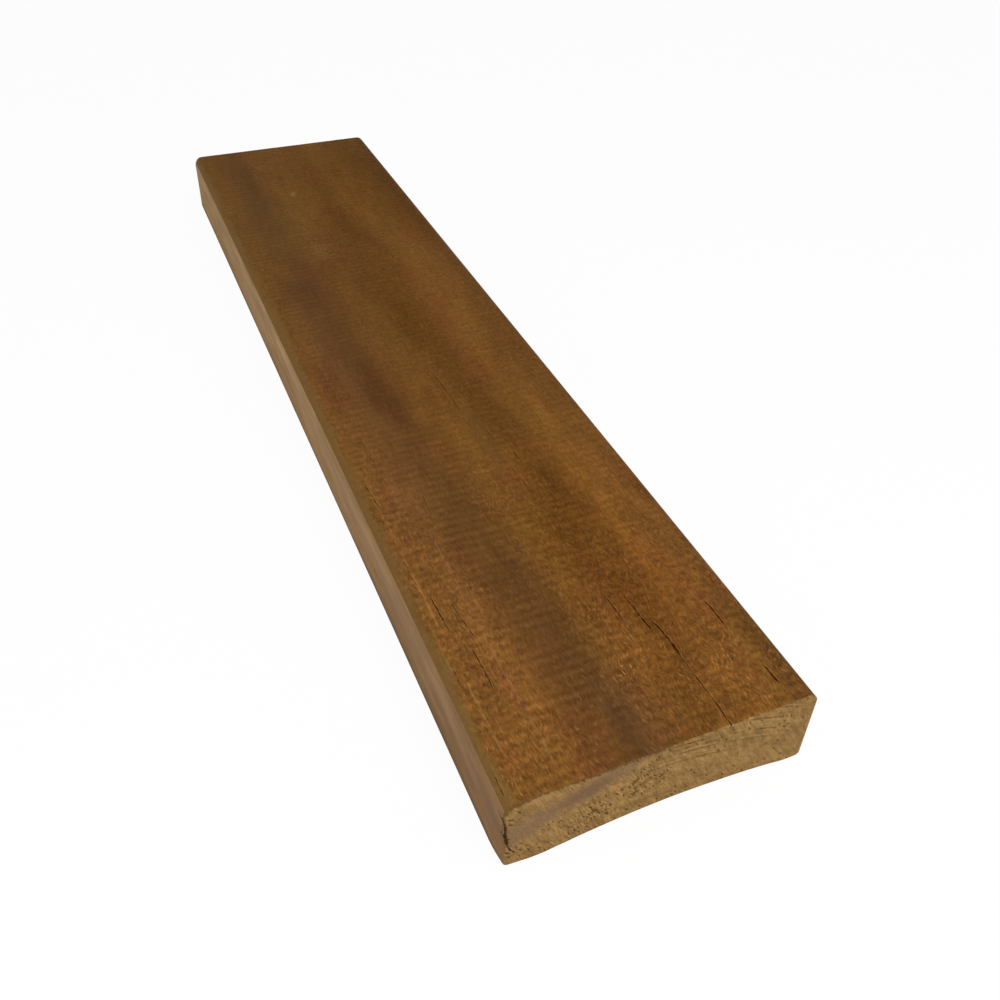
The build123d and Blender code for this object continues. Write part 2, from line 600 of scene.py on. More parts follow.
class Wiring:
    """Makes and joins the nodes of one tree."""

    def __init__(self, tree: bpy.types.NodeTree) -> None:
        """Takes the tree that the nodes go into."""
        self.tree = tree

    @classmethod
    def of(cls, owner: bpy.types.Material | bpy.types.World) -> "Wiring":
        """The wiring of a material's or world's own tree, emptied first."""
        owner.use_nodes = True
        owner.node_tree.nodes.clear()
        return cls(owner.node_tree)

    def node(self, kind: str, **settings: object) -> bpy.types.Node:
        """Adds a node.

        Args:
            kind: The node's type, without its ShaderNode prefix.
            settings: Values for the node's own properties.

        Returns:
            The node.
        """
        made = self.tree.nodes.new("ShaderNode" + kind)
        for name, value in settings.items():
            setattr(made, name, value)
        return made

    def feed(self, socket: Socket, value: Wire | Socket | float | Colour) -> None:
        """Joins an output to a socket, or writes a constant into it.

        Args:
            socket: The input.
            value: A wire, an output socket, a number or a colour.
        """
        if isinstance(value, Wire):
            self.tree.links.new(value.socket, socket)
        elif isinstance(value, Socket):
            self.tree.links.new(value, socket)
        elif isinstance(value, tuple) and socket.type == "RGBA":
            socket.default_value = (*value[:3], 1)
        else:
            socket.default_value = value

    def maths(self, operation: str, *values: Wire | float, clamp: bool = False) -> Wire:
        """A Math node.

        Args:
            operation: Its operation.
            values: Its inputs, in order.
            clamp: Whether the result is kept from 0 to 1.

        Returns:
            Its output.
        """
        made = self.node("Math", operation=operation, use_clamp=clamp)
        for socket, value in zip(made.inputs, values):
            self.feed(socket, value)
        return Wire(self, made.outputs[0])

    def combine(self, *parts: Wire | float) -> Wire:
        """Joins three numbers into a vector."""
        made = self.node("CombineXYZ")
        for socket, part in zip(made.inputs, parts):
            self.feed(socket, part)
        return Wire(self, made.outputs[0])

    def split(self, vector: Wire) -> Pattern:
        """The three numbers of a vector."""
        made = self.node("SeparateXYZ")
        self.feed(made.inputs[0], vector)
        return tuple(Wire(self, part) for part in made.outputs)

    def attribute(self, name: str) -> Wire:
        """The value of a point attribute of the mesh."""
        return Wire(self, self.node("Attribute", attribute_name=name).outputs["Fac"])

    def cells(self, vector: Wire, dimensions: str = "3D") -> Pattern:
        """Scattered cells, one to a unit.

        Args:
            vector: Where they are read.
            dimensions: "2D" or "3D".

        Returns:
            The distance from the nearest cell's middle, and two random numbers of that cell.
        """
        made = self.node("TexVoronoi", voronoi_dimensions=dimensions)
        self.feed(made.inputs["Vector"], vector)
        made.inputs["Scale"].default_value = 1
        made.inputs["Randomness"].default_value = 1
        first, second, _ = self.split(made.outputs["Color"])
        return Wire(self, made.outputs["Distance"]), first, second

    def scaled(self, vector: Wire, by: Colour) -> Wire:
        """A vector with each of its parts times its own number."""
        made = self.node("VectorMath", operation="MULTIPLY")
        self.feed(made.inputs[0], vector)
        made.inputs[1].default_value = by
        return Wire(self, made.outputs[0])

    def vector(self, operation: str, first: Wire, second: Wire | float = 0.0) -> Wire:
        """A Vector Math node: its number for a dot product or a length, and otherwise its vector.

        Args:
            operation: Its operation.
            first: Its first vector.
            second: Its second vector, or the factor when it scales.

        Returns:
            Its output.
        """
        made = self.node("VectorMath", operation=operation)
        self.feed(made.inputs[0], first)
        if operation != "LENGTH":
            self.feed(made.inputs["Scale" if operation == "SCALE" else 1], second)
        return Wire(self, made.outputs["Value" if operation in ("DOT_PRODUCT", "LENGTH") else "Vector"])

    def noise(self, vector: Wire, scale: Colour, detail: float = 2, roughness: float = 0.5) -> Wire:
        """Noise at its own scale along each axis.

        Args:
            vector: Where it is read, in millimetres.
            scale: Cells to a millimetre along each axis.
            detail: Octaves.
            roughness: How much the finer octaves count.

        Returns:
            Values around 0.5.
        """
        made = self.node("TexNoise")
        self.feed(made.inputs["Vector"], self.scaled(vector, scale))
        made.inputs["Scale"].default_value = 1
        made.inputs["Detail"].default_value = detail
        made.inputs["Roughness"].default_value = roughness
        return Wire(self, made.outputs["Fac"])

    def steps(self, value: Wire, low: Wire | float, high: Wire | float) -> Wire:
        """Rises smoothly from 0 where value is low to 1 where it is high, which may be the lesser."""
        made = self.node("MapRange", interpolation_type="SMOOTHSTEP")
        for name, given in (("Value", value), ("From Min", low), ("From Max", high)):
            self.feed(made.inputs[name], given)
        return Wire(self, made.outputs[0])

    def blend(
        self, share: Wire | float, first: Wire | Colour, second: Wire | Colour, kind: str = "MIX"
    ) -> Wire:
        """A Mix Color node.

        Args:
            share: How much of the second.
            first: The first colour.
            second: The second colour.
            kind: Its blend type.

        Returns:
            The mixed colour.
        """
        made = self.node("Mix", data_type="RGBA", blend_type=kind)
        for socket, value in zip([made.inputs[0], made.inputs[6], made.inputs[7]], (share, first, second)):
            self.feed(socket, value)
        return Wire(self, made.outputs[2])

    def dimmed(self, colour: Wire, factor: Wire) -> Wire:
        """A colour with each of its parts times one number."""
        return self.blend(1.0, colour, self.combine(factor, factor, factor), "MULTIPLY")

    def shaded(self, colour: Wire, value: Wire, darkest: float, lightest: float) -> Wire:
        """A colour times a factor that goes evenly from darkest to lightest as value goes from 0 to 1."""
        return self.dimmed(colour, value * (lightest - darkest) + darkest)

    def place(self, name: str, **values: Wire | float) -> Wires:
        """Adds a node group.

        Args:
            name: The group's name.
            values: Its inputs by name.

        Returns:
            Its outputs by name.
        """
        made = self.node("Group", node_tree=bpy.data.node_groups[name])
        for key, value in values.items():
            self.feed(made.inputs[key], value)
        return {socket.name: Wire(self, socket) for socket in made.outputs}

    def patch(self, where: Wire, along: float, across: float, reach: float, half: float) -> Wire:
        """A soft oblong about a point, as the group soft_patch makes it."""
        made = self.place("soft_patch", Place=where, Along=along, Across=across, Reach=reach, Half=half)
        return made["Mask"]


def node_group(name: str, inputs: dict[str, str], outputs: str, fill: Callable[..., Wires]) -> None:
    """Builds a shader node group once.

    Args:
        name: Its name.
        inputs: For each kind of socket, "Float" or "Vector", the names of its inputs, with spaces between.
        outputs: Names of its outputs, which are numbers apart from Plain and Grain.
        fill: Makes its nodes from a wiring and its inputs in lower case, and returns its outputs by name.
    """
    tree = bpy.data.node_groups.new(name, "ShaderNodeTree")
    kinds = {label: kind for kind, labels in inputs.items() for label in labels.split()}
    for label, kind in kinds.items():
        tree.interface.new_socket(label, in_out="INPUT", socket_type="NodeSocket" + kind)
    for label in outputs.split():
        kind = "Vector" if label in ("Plain", "Grain") else "Float"
        tree.interface.new_socket(label, in_out="OUTPUT", socket_type="NodeSocket" + kind)
    entry, leave = tree.nodes.new("NodeGroupInput"), tree.nodes.new("NodeGroupOutput")
    wiring = Wiring(tree)
    given = {label.lower(): Wire(wiring, entry.outputs[label]) for label in kinds}
    for label, wire in fill(wiring, **given).items():
        wiring.feed(leave.inputs[label], wire)


class WoodPatterns:
    """The node groups that the finishes share, each a pattern through the whole wood, in millimetres."""

    @staticmethod
    def build() -> None:
        """Builds every group."""
        p = WoodPatterns
        for name, inputs, outputs, fill in (
            ("wood_axes", {"Vector": "Place"}, "Plain Grain", p.axes),
            ("growth_rings", {"Vector": "Grain"}, "Rings Fine", p.rings),
            ("fibres", {"Vector": "Grain"}, "Value", p.fibres),
            ("vessels", {"Vector": "Grain", "Float": "Density Reach"}, "Mask", p.vessels),
            ("flecks", {"Vector": "Grain"}, "Value Strokes Lines", p.flecks),
            ("end_pores", {"Vector": "Plain", "Float": "Crowd"}, "Mask Grit", p.end_pores),
            ("knife_marks", {"Vector": "Plain"}, "Value", p.knife_marks),
            ("soft_band", {"Vector": "Grain", "Float": "Far Near Bow Half Soft Slant"}, "Mask", p.soft_band),
            ("crack", {"Vector": "Plain Start End", "Float": "Half"}, "Mask", p.crack),
            ("soft_patch", {"Vector": "Place", "Float": "Along Across Reach Half"}, "Mask", p.soft_patch),
            ("streak", {"Vector": "Place", "Float": "Start End Across Drift Half Soft"}, "Mask", p.streak),
        ):
            node_group(name, inputs, outputs, fill)

    @staticmethod
    def axes(w: Wiring, place: Wire) -> Wires:
        """Object coordinates in millimetres, plain, and with a slow sideways wander that bends the grain."""
        plain = w.scaled(place, (1000, 1000, 1000))
        x, y, z = w.split(plain)
        slow = w.noise(plain, (0.012, 0.04, 0.04), 1) - 0.5
        quick = w.noise(plain, (0.05, 0.12, 0.12), 1) - 0.5
        bent = slow * 7.0 + (quick * 1.6 + y)
        return {"Plain": plain, "Grain": w.combine(x, bent, z)}

    @staticmethod
    def rings(w: Wiring, grain: Wire) -> Wires:
        """Growth rings about a centre below the strip: soft noise over the radius, and finer lines."""
        x, y, z = w.split(grain)
        off_y, off_z = y + 7, z + 66
        radius = w.maths("SQRT", off_y * off_y + off_z * off_z)
        across = w.combine(radius, x * 0.01, 0)
        return {"Rings": w.noise(across, (0.22, 1, 1), 2), "Fine": w.noise(across, (1.15, 0.6, 1), 1)}

    @staticmethod
    def fibres(w: Wiring, grain: Wire) -> Wires:
        """Long thin streaks: noise drawn out along the grain, at two widths."""
        coarse = w.noise(grain, (0.05, 0.9, 0.9), 2, 0.6)
        fine = w.noise(grain, (0.2, 3.0, 3.0), 2, 0.5)
        return {"Value": fine * 0.5 + coarse * 0.5}

    @staticmethod
    def vessels(w: Wiring, grain: Wire, density: Wire, reach: Wire) -> Wires:
        """Open pores: cells drawn out along the grain, dark where a cell's middle is nearer than Reach."""
        distance, chosen, _ = w.cells(w.scaled(grain, (0.07, 1.35, 1.35)))
        return {"Mask": w.maths("LESS_THAN", chosen, density) * w.steps(distance, reach, reach * 0.45)}

    @staticmethod
    def flecks(w: Wiring, grain: Wire) -> Wires:
        """Fibre ends and torn grain near the sawn end: soft mottle, short dark lines and short pale strokes.

        Both kinds of line run along the grain and wave a little, by a slow noise. The pale strokes are
        painted glints.
        """
        x, y, z = w.split(grain)
        wave = w.noise(grain, (0.2, 0.24, 0.24), 2) - 0.5
        wavy = w.combine(x, wave * 3.2 + y, z)
        strokes = w.noise(wavy, (0.7, 2.2, 2.2), 3, 0.6)
        mottle = w.noise(grain, (0.85, 0.6, 0.6), 2, 0.5)
        value = w.steps(strokes, 0.28, 0.72) * 0.62 + w.steps(mottle, 0.3, 0.7) * 0.38
        lines = w.steps(w.noise(wavy, (0.6, 3.0, 3.0), 1), 0.34, 0.24)
        lines = lines * w.steps(w.noise(grain, (0.16, 0.2, 0.2), 2), 0.42, 0.6)
        glints = w.steps(w.noise(grain, (0.06, 0.1, 0.1), 2), 0.46, 0.62) * 0.7 + 0.3
        glint_strokes = w.steps(strokes, 0.56, 0.7) * glints
        return {"Value": value, "Strokes": glint_strokes, "Lines": lines}

    @staticmethod
    def end_pores(w: Wiring, plain: Wire, crowd: Wire) -> Wires:
        """Pores cut across at the sawn ends: short strokes that run steeply down to the right, and grit."""
        _, y, z = w.split(plain)
        bend = (w.noise(plain, (0.4, 0.4, 0.4), 1) - 0.5) * 1.4
        low, high = PORE_LEAN
        leaning = w.combine(y * low + z * -high, y * high + (z * low + bend), 0.0)
        distance, chosen, size = w.cells(w.scaled(leaning, (0.52, 1.9, 1)), "2D")
        reach = size * 0.24 + 0.27
        mask = w.maths("LESS_THAN", chosen, crowd) * w.steps(distance, reach, reach * 0.4)
        return {"Mask": mask, "Grit": w.steps(w.noise(leaning, (0.6, 2.4, 1), 3, 0.6), 0.32, 0.68)}

    # Painted shading: the knife marks' ripple goes into the colour as darker and lighter bands.
    @staticmethod
    def knife_marks(w: Wiring, plain: Wire) -> Wires:
        """The planer's knife marks: a wave along the strip, every second one stronger, with a bow."""
        x, y, _ = w.split(plain)
        bow = w.maths("SINE", y * KNIFE_BOW_ACROSS + x * KNIFE_BOW_ALONG)
        ripple = w.maths("SINE", y * KNIFE_RIPPLE_ACROSS) * KNIFE_RIPPLE
        phase = (x + (bow * KNIFE_BOW + ripple)) * (2 * math.pi / KNIFE_PITCH)
        wave = w.maths("COSINE", phase) * 0.76 + w.maths("COSINE", phase * 0.5) * 0.24
        broken = w.steps(w.noise(plain, (0.14, 0.22, 0.22), 3, 0.6), 0.36, 0.6)
        frayed = w.noise(plain, (1.1, 0.9, 0.9), 2) - 0.5
        strength = (broken * 0.8 + 0.2) * (w.steps(x, 10, 100) * 0.4 + 0.6)
        strength = strength * (w.steps(y, 28, -24) * 0.35 + 0.8)
        value = wave * strength * 0.5 + 0.5
        return {"Value": frayed * 0.7 + value}

    @staticmethod
    def soft_band(
        w: Wiring, grain: Wire, far: Wire, near: Wire, bow: Wire, half: Wire, soft: Wire, slant: Wire
    ) -> Wires:
        """A soft stripe along the whole strip: 1 within Half of its middle line, which runs from Far to Near.

        Bow moves its middle sideways, and Slant is how far it shifts across for each millimetre of depth.
        """
        x, y, z = w.split(grain)
        share = x * (1 / 316) + 0.5
        line = share * (near - far) + far
        hump = share * (1 - share) * 4
        middle = hump * bow + line
        off = abs((STRIP_THICKNESS - z) * slant + y - middle)
        return {"Mask": w.steps(off, half + soft, half - soft)}

    @staticmethod
    def soft_patch(w: Wiring, place: Wire, along: Wire, across: Wire, reach: Wire, half: Wire) -> Wires:
        """A soft oblong about a point of the first two axes: 1 in its middle, with an uneven border."""
        x, y, _ = w.split(place)
        there = w.combine((x - along) / reach, (y - across) / half, 0.0)
        uneven = w.noise(there, (1.3, 1.3, 1), 3, 0.6) - 0.5
        return {"Mask": w.steps(uneven * 0.9 + w.vector("LENGTH", there), 1.2, 0.25)}

    @staticmethod
    def streak(
        w: Wiring, place: Wire, start: Wire, end: Wire, across: Wire, drift: Wire, half: Wire, soft: Wire
    ) -> Wires:
        """A short streak or mark: from Start to End along the first axis, and Half wide along the second."""
        x, y, _ = w.split(place)
        reach = end - start
        share = (x - start) / reach
        middle = share * drift + across
        off = abs(y - middle)
        beside = w.steps(off, half + soft, half)
        ends = w.steps(share, 0, 0.2) * w.steps(share, 1, 0.8)
        gaps = w.steps(w.noise(place, (0.5, 1.2, 1.2), 2), 0.4, 0.56) * 0.85 + 0.15
        return {"Mask": beside * ends * gaps}

    @staticmethod
    def crack(w: Wiring, plain: Wire, start: Wire, end: Wire, half: Wire) -> Wires:
        """A crack along a line through the wood from Start to End: 1 within Half of it, with a ragged rim."""
        reach = w.vector("SUBTRACT", end, start)
        here = w.vector("SUBTRACT", plain, start)
        ahead, whole = w.vector("DOT_PRODUCT", here, reach), w.vector("DOT_PRODUCT", reach, reach)
        share = w.maths("DIVIDE", ahead, whole, clamp=True)
        off = w.vector("LENGTH", w.vector("SUBTRACT", here, w.vector("SCALE", reach, share)))
        frayed = w.noise(plain, (2.2, 2.2, 1.6), 2, 0.6) - 0.5
        off = frayed * 0.45 + off
        return {"Mask": w.steps(off, half + 0.12, half * 0.5)}


# Cracks in the worn upright edge: where each starts and ends, and half its width.
CRACKS = (
    ((156.5, -35.0, 17.4), (158.1, -35.0, 17.0), 0.2),
    ((158.0, -35.0, 17.2), (158.3, -34.3, 14.0), 0.2),
    ((158.2, -34.3, 14.0), (158.3, -34.3, 11.2), 0.3),
    ((158.0, -35.0, 12.8), (158.2, -34.6, 11.0), 0.24),
    ((158.2, -34.4, 11.4), (158.3, -33.9, 8.3), 0.5),
    ((158.2, -34.8, 8.8), (158.3, -34.2, 7.2), 0.24),
    ((158.3, -34.0, 8.4), (158.3, -33.1, 5.6), 0.18),
    ((158.3, -33.2, 5.9), (158.3, -32.3, 4.6), 0.16),
    ((158.3, -33.7, 16.3), (158.3, -32.8, 15.8), 0.14),
)


class Finish:
    """What every finish of the wood shares: a Principled shader over one tree of nodes."""

    name = "wood"
    roughness = 0.6
    specular = 0.3
    relief = 0.00004
    # Painted shade deep in the checks, over the split wood's own darker brown.
    inside = srgb(92, 46, 4)
    crack_inside = srgb(50, 33, 14)
    cracked = True

    def material(self) -> bpy.types.Material:
        """Builds the material.

        Returns:
            The material, with colour, roughness and bump from its nodes.
        """
        made = bpy.data.materials.new(self.name)
        w = Wiring.of(made)
        place = w.node("TexCoord").outputs["Object"]
        axes = w.place("wood_axes", Place=place)
        colour, rough, height = self.pattern(w, axes["Plain"], axes["Grain"])
        # Painted shade in the checks, darker the deeper they are cut.
        colour = w.blend(w.steps(w.attribute("check_depth"), 0.02, 0.4) * 0.95, colour, self.inside)
        if self.cracked:
            for start, end, half in CRACKS:
                mask = w.place("crack", Plain=axes["Plain"], Start=start, End=end, Half=half)["Mask"]
                colour = w.blend(mask * 0.92, colour, self.crack_inside)
        shader = w.node("BsdfPrincipled")
        shader.inputs["Specular IOR Level"].default_value = self.specular
        w.feed(shader.inputs["Base Color"], colour)
        w.feed(shader.inputs["Roughness"], rough)
        bump = w.node("Bump")
        bump.inputs["Strength"].default_value = 1.0
        bump.inputs["Distance"].default_value = self.relief
        w.feed(bump.inputs["Height"], height)
        w.feed(shader.inputs["Normal"], bump.outputs[0])
        w.feed(w.node("OutputMaterial").inputs["Surface"], shader.outputs[0])
        return made

    def pattern(self, w: Wiring, plain: Wire, grain: Wire) -> Pattern:
        """Base colour, roughness and height of this finish.

        Args:
            w: The material's wiring.
            plain: Row-frame coordinates in millimetres.
            grain: The same, bent with the grain.

        Returns:
            The colour, the roughness and the height.
        """
        raise NotImplementedError


@dataclass(frozen=True)
class FaceBand:
    """A stripe of another tone along the show face.

    Args:
        far: Its middle at the far end, across the strip.
        near: Its middle at the near end.
        bow: How far the middle stands to the right of the straight line halfway along.
        half: Half its width.
        soft: Half the width of each of its soft edges.
        slant: How far it shifts across for each millimetre of depth.
        far_share: How much of its tone takes hold at the far end.
        near_share: The same at the near end.
        tone: Factor for each part of the colour.
    """

    far: float
    near: float
    bow: float
    half: float
    soft: float
    slant: float
    far_share: float
    near_share: float
    tone: Colour


FACE_BANDS = (
    FaceBand(-22.0, -7.0, -3.5, 5.2, 5.0, 2.7, 0.35, 0.9, (0.7, 0.73, 0.92)),
    FaceBand(2.0, 11.5, 1.5, 3.8, 3.8, 1.0, 0.5, 0.6, (0.82, 0.79, 0.72)),
    FaceBand(30.0, 34.5, -1.0, 3.0, 3.5, 0.0, 0.6, 0.4, (0.8, 0.77, 0.8)),
    FaceBand(-10.0, 3.0, -1.0, 2.6, 2.4, 2.7, 0.2, 0.25, (1.12, 1.14, 0.9)),
    FaceBand(17.0, 21.0, 0.0, 4.5, 3.0, 0.0, 0.4, 0.6, (1.16, 1.16, 1.0)),
    FaceBand(-34.0, -23.0, 0.0, 6.0, 5.0, 0.0, 0.0, 0.8, (1.14, 1.13, 1.08)),
)


@dataclass(frozen=True)
class Scratch:
    """A short straight mark on the show face.

    Args:
        start: Where it starts along the strip.
        end: Where it ends.
        across: Its place across the strip at its start.
        drift: How far it moves across by its end.
        half: Half its width.
        soft: Width of its soft border.
        share: How much of its colour shows.
    """

    start: float
    end: float
    across: float
    drift: float
    half: float
    soft: float
    share: float


# Painted highlights: pale lines where light catches the edges along the checks.
HIGHLIGHT_LINES = (
    Scratch(58.0, 88.0, -31.0, 0.3, 0.1, 0.4, 0.25),
    Scratch(86.0, 119.0, -30.7, 0.1, 0.1, 0.3, 0.45),
    Scratch(126.0, 148.0, -30.6, 0.2, 0.08, 0.3, 0.4),
    Scratch(112.0, 126.0, -32.3, 0.0, 0.1, 0.3, 0.35),
    Scratch(82.0, 112.0, -22.4, 0.1, 0.1, 0.4, 0.22),
    Scratch(112.0, 160.0, -22.5, 0.2, 0.12, 0.45, 0.28),
)
# Dim marks on the show face, each with its own colour.
SMUDGES = (
    (Scratch(0.0, 28.0, -27.4, 1.0, 1.0, 2.6, 0.3), srgb(72, 46, 22)),
    (Scratch(4.0, 38.0, -16.8, 1.0, 1.2, 3.0, 0.35), srgb(80, 44, 22)),
    (Scratch(40.0, 72.0, 3.6, 0.5, 0.8, 3.2, 0.35), srgb(88, 68, 34)),
    (Scratch(-50.0, -20.0, -18.0, 0.0, 1.0, 4.0, 0.2), srgb(82, 52, 34)),
)
# Where the painted glints are strong: the middle along and across, half the length and half the width.
GLINTS = (
    (132.0, 4.0, 13.0, 5.0),
    (137.0, 1.5, 14.0, 5.0),
    (148.0, 22.0, 10.0, 6.0),
    (92.0, -31.5, 12.0, 2.5),
    (149.0, -30.5, 12.0, 3.5),
)
SCUFFS = (
    Scratch(-113.6, -109.2, -5.6, -1.2, 0.35, 1.3, 0.42),
    Scratch(-70.0, -56.0, -8.9, 0.4, 0.8, 3.4, 0.14),
)


# Soft oblong patches of another tone on the show face: the middle along and across, half the length,
# half the width, and a factor for each part of the colour.
TONE_PATCHES = (
    (-115.0, 27.0, 62.0, 14.0, (0.8, 0.78, 0.62)),
    (-130.0, -19.5, 42.0, 5.0, (0.84, 0.85, 0.88)),
    (-36.0, -24.0, 16.0, 8.0, (0.84, 0.84, 0.92)),
    (-46.0, -4.0, 24.0, 8.0, (0.88, 0.88, 0.88)),
    (-10.0, 3.5, 30.0, 7.5, (0.84, 0.81, 0.7)),
    (-80.0, 3.0, 20.0, 7.0, (0.86, 0.85, 0.78)),
    (30.0, -14.5, 18.0, 5.0, (0.82, 0.79, 0.84)),
    (34.0, 4.0, 14.0, 14.0, (0.9, 0.88, 0.84)),
    (98.0, 5.5, 17.0, 8.0, (0.8, 0.78, 0.7)),
    (65.0, -31.5, 64.0, 3.5, (1.16, 1.17, 1.14)),
    (69.0, -23.5, 12.0, 4.5, (1.22, 1.22, 1.26)),
    (75.0, 26.0, 64.0, 7.5, (1.2, 1.2, 1.14)),
    (-6.0, 20.0, 24.0, 7.0, (1.12, 1.14, 1.1)),
    (130.0, -11.0, 42.0, 4.0, (1.12, 1.1, 1.05)),
    (66.0, 7.5, 11.0, 4.5, (1.22, 1.22, 1.12)),
    (135.0, 7.0, 12.0, 6.0, (1.24, 1.22, 1.18)),
    (-70.0, 33.0, 120.0, 4.0, (0.84, 0.83, 0.83)),
    (45.0, -24.0, 100.0, 10.0, (1.0, 1.0, 1.25)),
    (-120.0, 7.0, 54.0, 13.0, (1.0, 0.98, 0.76)),
    (-35.0, 7.0, 54.0, 11.0, (1.0, 0.97, 0.82)),
    (100.0, 11.0, 60.0, 11.0, (1.0, 0.96, 0.78)),
    (-85.0, -21.0, 44.0, 20.0, (0.97, 1.05, 1.1)),
    (148.0, -2.0, 16.0, 6.0, (1.0, 1.0, 1.3)),
    (120.0, 18.0, 58.0, 12.0, (1.03, 0.96, 0.98)),
    (-118.0, 21.0, 46.0, 12.0, (1.0, 0.97, 0.86)),
    (-72.0, 28.0, 26.0, 6.0, (1.0, 1.0, 0.84)),
    (-92.0, 13.0, 22.0, 8.0, (1.1, 1.1, 1.05)),
    (-138.0, -3.0, 26.0, 9.0, (0.95, 0.95, 0.94)),
    (-10.0, -26.0, 28.0, 8.0, (0.98, 1.01, 1.1)),
    (-2.0, -10.0, 14.0, 5.0, (1.07, 1.07, 1.14)),
    (20.0, -16.0, 14.0, 6.0, (1.0, 0.99, 0.88)),
    (18.0, 8.0, 14.0, 6.0, (1.0, 0.99, 0.9)),
    (125.0, -18.0, 46.0, 18.0, (1.02, 0.99, 1.06)),
    (108.0, 9.0, 16.0, 6.0, (1.0, 1.06, 1.04)),
)


@dataclass(frozen=True)
class OiledFace(Finish):
    """The oiled show face and its arrises: saturated brown with dark stripes, flecks and knife marks."""

    name: str = "oiled_show_face"
    cracked: bool = False
    roughness: float = 0.6
    specular: float = 0.02
    relief: float = 0.00005
    light: Colour = srgb(115, 77, 33)
    deep: Colour = srgb(103, 68, 30)
    red: Colour = srgb(109, 68, 32)
    # Colour of the painted glints and of the painted highlights along the checks.
    highlight_gold: Colour = srgb(166, 120, 70)
    # Olive tone of the left arris: painted shading of its rounding.
    pore: Colour = srgb(56, 32, 8)
    arris: Colour = srgb(116, 90, 50)
    scuff: Colour = srgb(154, 120, 82)

    def bands(self, w: Wiring, grain: Wire, base: Wire) -> Wire:
        """The wood's colour with every band laid over it."""
        x, _, _ = w.split(grain)
        for band in FACE_BANDS:
            shape = fields_of(band, "far near bow half soft slant")
            mask = w.place("soft_band", Grain=grain, **shape)["Mask"]
            share = w.steps(x, -150, 150) * (band.near_share - band.far_share) + band.far_share
            base = w.blend(mask * share, base, band.tone, "MULTIPLY")
        return base

    @staticmethod
    def marks(w: Wiring, plain: Wire, base: Wire, lines: tuple[Scratch, ...], colour: Colour) -> Wire:
        """The colour with each of the lines drawn over it in another colour."""
        for line in lines:
            shape = fields_of(line, "start end across drift half soft")
            mask = w.place("streak", Place=plain, **shape)["Mask"]
            base = w.blend(mask * line.share, base, colour)
        return base

    @staticmethod
    def mottled(w: Wiring, base: Wire, value: Wire, depth: Wire) -> Wire:
        """The colour made lighter and darker by a value about 0.5, over a range as wide as depth."""
        return w.dimmed(base, (value - 0.5) * depth + 1.0)

    def pattern(self, w: Wiring, plain: Wire, grain: Wire) -> Pattern:
        """Stripes over mottled wood, then fibres, knife marks, flecks, pores and scuffs, as in Finish."""
        x, y, _ = w.split(plain)
        rings = w.place("growth_rings", Grain=grain)
        mottle = w.noise(grain, (0.02, 0.12, 0.12), 3, 0.55)
        near_half = w.steps(x, -30, 110)
        calm = near_half * 0.5 + 0.5
        share = (w.steps(mottle, 0.32, 0.68) - 0.5) * calm + 0.5
        base = w.blend(share, self.deep, self.light)
        base = w.blend(w.steps(w.noise(grain, (0.03, 0.1, 0.05), 2), 0.48, 0.72), base, self.red)
        base = w.shaded(base, w.steps(rings["Rings"], 0.3, 0.7), 0.94, 1.05)
        base = self.bands(w, grain, base)
        for patch in TONE_PATCHES:
            base = w.blend(w.patch(plain, *patch[:4]), base, patch[4], "MULTIPLY")
        blotches = w.noise(grain, (0.09, 0.2, 0.2), 3, 0.6)
        base = self.mottled(w, base, w.steps(blotches, 0.3, 0.7), near_half * 0.12 + 0.1)
        fibre = w.place("fibres", Grain=grain)["Value"]
        base = self.mottled(w, base, w.steps(fibre, 0.3, 0.7), near_half * 0.05 + 0.15)
        # Painted shading of the knife marks' ripple.
        marks = w.place("knife_marks", Plain=plain)["Value"]
        base = w.shaded(base, marks, 0.86, 1.15)
        flecks = w.place("flecks", Grain=grain)
        nearer = w.steps(y * -0.5 + x, 40, 140)
        stripe = {"Far": -23.5, "Near": -7.5, "Bow": -3.0, "Half": 6.5, "Soft": 4.0, "Slant": 0.0}
        rough_wood = w.place("soft_band", Grain=grain, **stripe)["Mask"] * -0.5 + 1.0
        depth = (nearer * 0.38 + 0.5) * rough_wood
        base = self.mottled(w, base, flecks["Value"], depth)
        dark = flecks["Lines"] * rough_wood * (nearer * 0.24 + 0.18)
        base = w.blend(dark, base, self.pore)
        # Painted glints: pale strokes of sheen on the flecks, strongest in the GLINTS patches.
        shine = nearer * 0.27 + 0.18
        for along, across, reach, half in GLINTS:
            shine = w.patch(plain, along, across, reach, half) * 0.5 + shine
        glint = flecks["Strokes"] * rough_wood * shine
        base = w.blend(glint, base, self.highlight_gold)
        for smudge, colour in SMUDGES:
            base = self.marks(w, plain, base, (smudge,), colour)
        # Painted highlight lines along the checks.
        base = self.marks(w, plain, base, HIGHLIGHT_LINES, self.highlight_gold)
        base = self.marks(w, plain, base, SCUFFS, self.scuff)
        vessels = w.place("vessels", Grain=grain, Density=0.16, Reach=0.15)["Mask"]
        base = w.blend(vessels * 0.45, base, self.pore)
        # Painted shading: the rounded left arris turns olive, with a ragged inner edge.
        ragged = w.noise(plain, (0.09, 0.5, 0.5), 3, 0.6) * 5.0 + (y - 2.5)
        base = w.blend(w.steps(ragged, -31.6, -34.2) * 0.68, base, self.arris)
        # Painted highlight along the rims of the open checks.
        base = w.blend(w.attribute("lip_highlight") * 0.4, base, self.highlight_gold)
        height = fibre * 0.6 + flecks["Value"] * 0.5 - vessels
        rough = fibre * 0.2 + (self.roughness - 0.1)
        return base, rough, height


